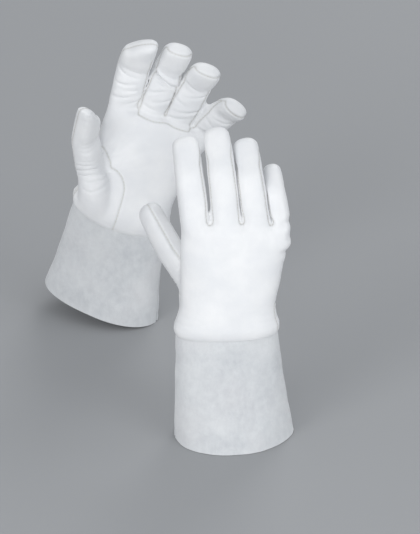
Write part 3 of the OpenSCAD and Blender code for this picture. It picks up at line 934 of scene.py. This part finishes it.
# ---------- one glove's hand part ----------
ROOT_SHARE = 0.62                  # a finger's root pieces end at this share of its first segment
THUMB_ROOT = 20.0                  # and the thumb's at this height
STITCH_STEP = 4                    # every fourth seam sample carries a stitch
FEWEST_FACES = 12                  # a piece of fewer triangles than this is a sliver and left out
SEAMS = (
    lambda m: m.front(),
    lambda m: m.back(),
    lambda m: m.two_fingers(),
    lambda m: m.thumb_panel(),
    lambda m: np.where(m.thumb_panel() > 0, m.thumb_halves(), 3),
)
BODY_EDGES = (
    lambda m: m.above_slits,
    lambda m: np.where(m.above_slits > 0, m.along[:, 2] - ROOT_SHARE * m.segment, -4),
    lambda m: np.where(m.on_thumb > 0, m.thumb[:, 2], -4),
    lambda m: np.where(m.on_thumb > 0, m.thumb[:, 2] - THUMB_ROOT, -4),
)


def cut_skin(hand):
    """The posed skin, open at the wrist and cut along its seams and between its bodies."""
    straight, quads = straight_skin(hand)
    shaped = posed(hand, straight)
    shaped = relaxed(straight, shaped, quads)
    fine_straight, fine_quads = subdivided(straight, quads)
    fine_shaped, _ = subdivided(shaped, quads)
    skin = Skin(fine_straight, fine_shaped, fine_quads)
    skin.cut(skin.straight[:, 2].copy())
    skin.keep(skin.centres()[:, 2] > 0)
    for value in SEAMS + BODY_EDGES:
        skin.cut(value(Measure(hand, skin.straight)))
    return skin


def labels(m):
    """The panel and the group of each triangle. The pieces of one group lie across one joint."""
    front = m.front() > 0
    panel = np.full(len(front), "strips", dtype=object)
    panel[front] = "palm"
    panel[(m.back() < 0) & ~front] = "back"
    panel[front & (m.two_fingers() > 0)] = "two_fingers"
    wing = (m.thumb_panel() > 0) & ((m.on_thumb > 0) | front)
    panel[wing & (m.thumb_halves() > 0)] = "thumb_front"
    panel[wing & (m.thumb_halves() <= 0)] = "thumb_back"

    group = np.full(len(front), "hand", dtype=object)
    for i, name in enumerate(FINGERS):
        mine = (m.above_slits > 0) & (m.finger == i)
        group[mine] = f"{name}_root"
        group[mine & (m.along[:, 2] > ROOT_SHARE * m.segment)] = f"{name}_end"
    mine = (m.on_thumb > 0) & (m.thumb[:, 2] > 0)
    group[mine] = "thumb_root"
    group[mine & (m.thumb[:, 2] > THUMB_ROOT)] = "thumb_end"
    return panel, group


def edges_between(tris, panel):
    """The edges with a different panel on each side, which are the seams."""
    number = {name: k for k, name in enumerate(sorted(set(panel)))}
    owner = np.repeat([number[name] for name in panel], 3)
    pairs = np.sort(triangle_edges(tris), axis=1)
    order = np.lexsort((pairs[:, 1], pairs[:, 0]))
    pairs = pairs[order]
    owner = owner[order]
    same = (pairs[1:] == pairs[:-1]).all(axis=1)
    return pairs[1:][same & (owner[1:] != owner[:-1])]


def press_seams(skin, normals, samples, seam_edges):
    """Presses the seams and the wrist's tucked edge into the skin. Returns how near a seam each point is,
    which weights the shade painted into the colour along the seams.
    """
    rows = np.concatenate(samples)
    tree = tree_of(rows[:, :3])
    distance = np.zeros(len(skin.shaped))
    along = np.zeros(len(skin.shaped))
    for k, place in enumerate(skin.shaped):
        _, index, distance[k] = tree.find(place)
        along[k] = rows[index, 9]
    distance = np.maximum(0, distance - 0.3)
    distance[np.unique(seam_edges)] = 0
    skin.shaped = skin.shaped + normals * groove(distance, along)[:, None]
    tuck = bump(skin.straight[:, 2], 0, 1.1)
    skin.shaped = skin.shaped - normals * (tuck * 0.5)[:, None]
    return np.exp(-((distance / 0.8) ** 2))


def hand_stitches(hand, skin, group, samples):
    """Stitches on the seams, grouped with the leather they lie on."""
    tree = tree_of(skin.shaped[skin.tris].mean(axis=1))
    bags = {}
    for sample in samples:
        for row in sample[2::STITCH_STEP]:
            _, index, _ = tree.find(row[:3])
            bags.setdefault(group[index], []).append(row)
    for name, found in bags.items():
        found = np.array(found)
        obj = stitch_mesh(f"{hand.side}_{name}_thread", hand.world(found[:, :3]),
                          found[:, 3:6] @ hand.axes.T, found[:, 6:9] @ hand.axes.T, HAND_STITCH)
        if name == "hand":
            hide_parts(f"{hand.side}_hand_thread")
        bend_piece(obj)


def hand_skin(side):
    hand = Hand(side)
    skin = cut_skin(hand)
    panel, group = labels(Measure(hand, skin.centres()))
    seam_edges = edges_between(skin.tris, panel)
    normals = skin.normals()
    skin.shaped = skin.shaped + normals * folds(hand, Measure(hand, skin.straight))[:, None]
    normals = skin.normals()
    samples = seam_samples(skin, chains(seam_edges), normals)
    # painted shade: how near a seam each point is, later darkening the leather's colour there like the shadow
    # in a groove
    painted_shade = press_seams(skin, normals, samples, seam_edges)

    zones = blend_zones(hand)
    world = hand.world(skin.shaped)
    world_normals = skin.normals() @ hand.axes.T
    for g in sorted(set(group)):
        for p in sorted(set(panel)):
            faces = (group == g) & (panel == p)
            if faces.sum() < FEWEST_FACES:
                continue
            obj = build_piece(f"{side}_{g}_{p}_leather", side, world, skin.tris[faces], world_normals,
                              "grain_leather", painted_shade)
            nodes = cad_nodes(side, g, p)
            if nodes:
                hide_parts(*nodes)
            bend_piece(obj)
    hand_stitches(hand, skin, group, samples)
    return hand, zones


# ---------- cuffs ----------
RIM_INSET = 0.75                   # the record's rim point lies this far inside the hem's outer edge
CUFF_ROWS = 96
CUFF_COLUMNS = 264
CUFF_HEIGHT = 112.0                # from the hem to the wrist seam
CUFF_SEED = {"right": 11, "left": 23}
CUFF_STITCH_STEP = 3.4


def straight_cuff(side, hand):
    """Rows of points from the hem up to the wrist seam, round a smooth cone."""
    rim = next(mount for mount in frame["record"]["mounts"] if mount["name"] == f"{side}_cuff_rim")
    flip = np.diag([1, hand.mirror, 1])
    hem_axes = turn((0, 0, 1), HEM_YAW[side]) @ flip @ turn((0, 1, 0), HEM_LEAN[side])
    half = (HEM_HALF[0] + HEM_SPREAD[side], HEM_HALF[1] - HEM_SPREAD[side])
    hem_centre = np.array(rim["pos_m"]) / MM + hem_axes @ np.array([0, half[1] - RIM_INSET, 0])
    hem = ring(half[0], half[1], 2.1, CUFF_COLUMNS) @ hem_axes.T + hem_centre
    seam = ring(WRIST_HALF[0] - 0.6, WRIST_HALF[1] - 1.6, 2.3, CUFF_COLUMNS)
    seam[:, 2] += CUFF_OVERLAP + seam_rise(side, seam[:, 0])
    seam = seam @ hand.seam_axes.T + hand.origin
    k = np.linspace(0, 1, CUFF_ROWS)[:, None, None]
    return hem[None] * (1 - k) + seam[None] * k


def worn_cuff(side, grid):
    """How far each point of the cuff stands out from the smooth cone."""
    t = 2 * math.pi * np.arange(CUFF_COLUMNS)[None] / CUFF_COLUMNS
    k = np.linspace(0, 1, CUFF_ROWS)[:, None]
    flat = grid.reshape(-1, 3)
    seed = CUFF_SEED[side]
    broad, small, fine = (value_noise(flat, size, seed + i).reshape(CUFF_ROWS, CUFF_COLUMNS)
                          for i, size in enumerate((46.0, 17.0, 5.0)))
    lift = 1.5 * broad * (1 - 0.6 * k) + 0.5 * small + 0.10 * fine
    lift += (np.sin(3 * t + 0.8) * 0.9 + np.sin(5 * t + 2.1) * 0.5) * (1 - k) ** 1.5
    lift -= 1.6 * np.sin(math.pi * k) ** 2 * (0.4 + 0.6 * np.abs(np.sin(t)))
    # gathers where the cuff is drawn in at the wrist seam
    lift += 0.16 * np.sin(26 * t + 6 * broad + 4 * small) * smooth(k, 0.84, 0.96)
    # side seams: a gutter between two rolled edges
    arc = from_side_seam()
    lift += -1.2 * bump(arc, 0, 0.9) + 0.45 * bump(arc, 2.9, 1.7)
    # the edge inside the hand part stays smooth
    held = 1 - smooth(k, 0.93, 0.98)
    hem_roll = 0.4 * bump(k * CUFF_HEIGHT, 0, 2.0)
    return lift * held + hem_roll


def from_side_seam():
    """About how far each column of the cuff is from the nearer side seam."""
    return np.abs(np.sin(2 * math.pi * np.arange(CUFF_COLUMNS) / CUFF_COLUMNS)) * 50


def grid_tris(rows, columns):
    """Two triangles for each cell of a grid whose columns close round."""
    index = np.arange(rows * columns).reshape(rows, columns)
    ahead = np.roll(index, -1, axis=1)
    halves = ((index[:-1], ahead[:-1], ahead[1:]), (index[:-1], ahead[1:], index[1:]))
    return np.concatenate([np.stack(corners, axis=2).reshape(-1, 3) for corners in halves])


def cuff(side, hand):
    grid = straight_cuff(side, hand)
    out = grid - grid.mean(axis=1, keepdims=True)
    out /= np.linalg.norm(out, axis=2, keepdims=True)
    grid = grid + out * worn_cuff(side, grid)[:, :, None]
    tris = grid_tris(CUFF_ROWS, CUFF_COLUMNS)
    column = np.tile(np.arange(CUFF_COLUMNS), 2 * (CUFF_ROWS - 1))
    points = grid.reshape(-1, 3)
    normals = vertex_normals(points, tris, hand.mirror)
    # painted shade along the cuff's side seams, mixed into the suede's colour like the shadow in their
    # grooves
    painted_shade = np.tile(bump(from_side_seam(), 0, 1.5), CUFF_ROWS)
    middle = CUFF_COLUMNS // 2
    for name, chosen in (("palm", column < middle), ("back", column >= middle)):
        obj = build_piece(f"{side}_cuff_{name}_leather", side, points, tris[chosen], normals,
                          "split_leather", painted_shade)
        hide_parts(f"{side}_cuff_{name}")
        bend_piece(obj)
    cuff_stitches(side, grid, normals.reshape(grid.shape))


def cuff_stitches(side, grid, normals):
    """A row of stitches up each side seam."""
    rows = []
    for start in (0, CUFF_COLUMNS // 2):
        along = distances(grid[:, start])
        at = np.arange(3.0, along[-1] - 2, CUFF_STITCH_STEP)
        place = resampled(at, along, grid[:, start])
        rows.append(np.column_stack([place, resampled(at, along, normals[:, start]), directions_of(place)]))
    found = np.concatenate(rows)
    obj = stitch_mesh(f"{side}_cuff_thread_rows", found[:, :3], found[:, 3:6], found[:, 6:9], CUFF_STITCH)
    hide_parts(f"{side}_cuff_thread")
    bend_piece(obj)


# ---------- materials ----------
# inputs and output of the Mix node when it mixes colours
MIX_SHARE = 0
MIX_A = 6
MIX_B = 7
MIX_RESULT = 2


class Nodes:
    """Short names for wiring one node material."""

    def __init__(self, name):
        self.material = bpy.data.materials.new(name)
        self.material.use_nodes = True
        self.tree = self.material.node_tree
        self.shader = self.tree.nodes["Principled BSDF"]
        self.place = self.add("ShaderNodeTexCoord").outputs["Object"]

    def wire(self, node, inputs):
        """Gives a node's inputs values or other nodes' outputs."""
        for key, value in inputs.items():
            if isinstance(value, bpy.types.NodeSocket):
                self.tree.links.new(value, node.inputs[key])
            else:
                node.inputs[key].default_value = value

    def add(self, kind, inputs=None, **settings):
        node = self.tree.nodes.new(kind)
        for key, value in settings.items():
            setattr(node, key, value)
        self.wire(node, inputs or {})
        return node

    def noise(self, scale, detail=3.0, rough=0.5, place=None):
        inputs = {"Vector": place or self.place, "Scale": scale, "Detail": detail, "Roughness": rough}
        return self.add("ShaderNodeTexNoise", inputs).outputs["Fac"]

    def ramp(self, value, low, high, to_low=0.0, to_high=1.0):
        inputs = {"Value": value, "From Min": low, "From Max": high, "To Min": to_low, "To Max": to_high}
        return self.add("ShaderNodeMapRange", inputs).outputs["Result"]

    def mix(self, share, a, b):
        inputs = {MIX_SHARE: share, MIX_A: a, MIX_B: b}
        return self.add("ShaderNodeMix", inputs, data_type="RGBA").outputs[MIX_RESULT]

    def math(self, operation, a, b):
        return self.add("ShaderNodeMath", {0: a, 1: b}, operation=operation).outputs[0]

    def bump(self, height, distance, strength, normal=None):
        inputs = {"Height": height, "Distance": distance, "Strength": strength}
        if normal:
            inputs["Normal"] = normal
        return self.add("ShaderNodeBump", inputs).outputs["Normal"]

    def attribute(self, name):
        return self.add("ShaderNodeAttribute", attribute_name=name).outputs["Fac"]

    def set(self, **inputs):
        """Sets the shader's inputs, whose names are given with _ for a space."""
        self.wire(self.shader, {key.replace("_", " "): value for key, value in inputs.items()})


def grain_leather():
    m = Nodes("grain_leather")
    clouds = m.ramp(m.noise(38, 4), 0.35, 0.68)
    colour = m.mix(clouds, (0.80, 0.81, 0.825, 1), (0.865, 0.87, 0.875, 1))
    specks = m.ramp(m.noise(900, 2), 0.62, 0.78)
    colour = m.mix(m.math("MULTIPLY", specks, 0.10), colour, (0.66, 0.66, 0.65, 1))
    # painted shade: the colour darkens towards grey near the seams, standing in for the shadow in their
    # grooves
    seam = m.math("MULTIPLY", m.attribute("painted_shade"), 0.34)
    colour = m.mix(seam, colour, (0.52, 0.52, 0.51, 1))
    pores = m.add("ShaderNodeTexVoronoi", {"Vector": m.place, "Scale": 900.0}, feature="DISTANCE_TO_EDGE")
    grain = m.ramp(pores.outputs["Distance"], 0.0, 0.16)
    pebble = m.noise(520, 3, 0.6)
    height = m.math("ADD", m.math("MULTIPLY", grain, 0.5), pebble)
    fine = m.bump(height, 0.00016, 0.42)
    soft = m.bump(m.noise(95, 4, 0.55), 0.0011, 0.30, fine)
    rough = m.ramp(m.noise(60, 3), 0.3, 0.7, 0.40, 0.54)
    m.set(Base_Color=colour, Roughness=rough, Normal=soft, Sheen_Weight=0.08, Sheen_Roughness=0.5,
          Specular_IOR_Level=0.42)
    return m.material


def suede():
    m = Nodes("split_leather")
    stretch = m.add("ShaderNodeMapping", {"Vector": m.place, "Scale": (1.0, 1.0, 0.75)}).outputs["Vector"]
    nap = m.noise(160, 6, 0.62, stretch)
    clouds = m.ramp(m.noise(22, 5, 0.6), 0.30, 0.72)
    colour = m.mix(clouds, (0.585, 0.605, 0.628, 1), (0.735, 0.750, 0.760, 1))
    tint = m.ramp(m.noise(13, 3), 0.48, 0.72, 0.0, 0.30)
    colour = m.mix(tint, colour, (0.72, 0.70, 0.715, 1))
    colour = m.mix(m.ramp(nap, 0.36, 0.66, 0.0, 0.42), colour, (0.80, 0.82, 0.83, 1))
    fibres = m.noise(1500, 4, 0.7, stretch)
    colour = m.mix(m.ramp(fibres, 0.56, 0.78, 0.0, 0.45), colour, (0.50, 0.515, 0.53, 1))
    # painted shade: the colour darkens along the side seams, standing in for the shadow in their grooves
    colour = m.mix(m.math("MULTIPLY", m.attribute("painted_shade"), 0.3), colour, (0.36, 0.37, 0.38, 1))
    fuzz = m.bump(fibres, 0.0006, 0.65)
    lay = m.bump(nap, 0.0010, 0.40, fuzz)
    m.set(Base_Color=colour, Roughness=0.95, Normal=lay, Sheen_Weight=0.55, Sheen_Roughness=0.45,
          Specular_IOR_Level=0.12)
    return m.material


def thread():
    m = Nodes("thread")
    twist = m.add("ShaderNodeTexWave", {"Vector": m.place, "Scale": 1400.0, "Distortion": 2.0})
    colour = m.mix(m.noise(300, 2), (0.60, 0.585, 0.53, 1), (0.74, 0.72, 0.66, 1))
    plies = m.bump(twist.outputs["Fac"], 0.0001, 0.5)
    m.set(Base_Color=colour, Roughness=0.8, Normal=plies, Sheen_Weight=0.3)
    return m.material


def floor_material():
    m = Nodes("studio_paper")
    colour = m.mix(m.noise(3, 2), (0.360, 0.367, 0.377, 1), (0.374, 0.381, 0.391, 1))
    m.set(Base_Color=colour, Roughness=0.95, Specular_IOR_Level=0.1)
    return m.material


# ---------- stage, in metres ----------
FLOOR_REACH = 14.0
FLOOR_DROP = 0.0006                # keeps the floor just under the cuffs
# name, place, size, power, colour
LAMPS = (
    ("key", (-1.4, -1.7, 1.5), 1.3, 15, (1, 1, 1)),
    ("fill", (1.5, -1.5, 1.0), 1.6, 12, (0.97, 0.985, 1.0)),
    ("front", (-0.2, -2.4, 0.45), 1.4, 17, (1, 1, 1)),
    ("rim", (0.6, 1.8, 1.6), 1.2, 14, (1, 1, 1)),
)
SKY = (0.93, 0.96, 1.0, 1)
SKY_STRENGTH = 0.56
CAMERA_TARGET = np.array([0.0427, -0.1207, 0.186])
CAMERA_ELEVATION = 30.0
CAMERA_DISTANCE = 6.0
CAMERA_LENS = 420.7


def floor():
    mesh = bpy.data.meshes.new("floor")
    corners = [(x * FLOOR_REACH, y * FLOOR_REACH, 0) for x, y in ((-1, -1), (1, -1), (1, 1), (-1, 1))]
    mesh.from_pydata(corners, [], [(0, 1, 2, 3)])
    mesh.materials.append(floor_material())
    obj = new_object("floor", mesh)
    obj.location.z = -FLOOR_DROP


def lights(middle):
    """The lamps, all turned to the middle of the pair, and an even sky."""
    for name, place, size, power, colour in LAMPS:
        data = bpy.data.lights.new(name, "AREA")
        data.shape = "DISK"
        data.size = size
        data.energy = power
        data.color = colour
        obj = new_object(name, data)
        obj.location = place
        direction = Vector(middle) - Vector(place)
        obj.rotation_euler = direction.to_track_quat("-Z", "Y").to_euler()
    world = bpy.data.worlds.new("studio")
    world.use_nodes = True
    background = world.node_tree.nodes["Background"]
    background.inputs["Color"].default_value = SKY
    background.inputs["Strength"].default_value = SKY_STRENGTH
    bpy.context.scene.world = world
    bpy.context.scene.view_settings.view_transform = "Standard"


def camera():
    """Looks along +Y and down at the pair, as in the picture."""
    rise = math.radians(CAMERA_ELEVATION)
    data = bpy.data.cameras.new("camera")
    data.lens = CAMERA_LENS
    data.sensor_width = 36
    data.clip_end = 60
    obj = new_object("camera", data)
    obj.location = CAMERA_TARGET + CAMERA_DISTANCE * np.array([0, -math.cos(rise), math.sin(rise)])
    obj.rotation_euler = (math.pi / 2 - rise, 0, 0)
    bpy.context.scene.camera = obj


# ---------- build ----------
MATERIALS["grain_leather"] = grain_leather()
MATERIALS["split_leather"] = suede()
MATERIALS["thread"] = thread()
for side in SIDES:
    hand, zones = hand_skin(side)
    cuff(side, hand)
floor()
lights(tuple((np.array(cad_box[0]) + np.array(cad_box[1])) / 2))
camera()
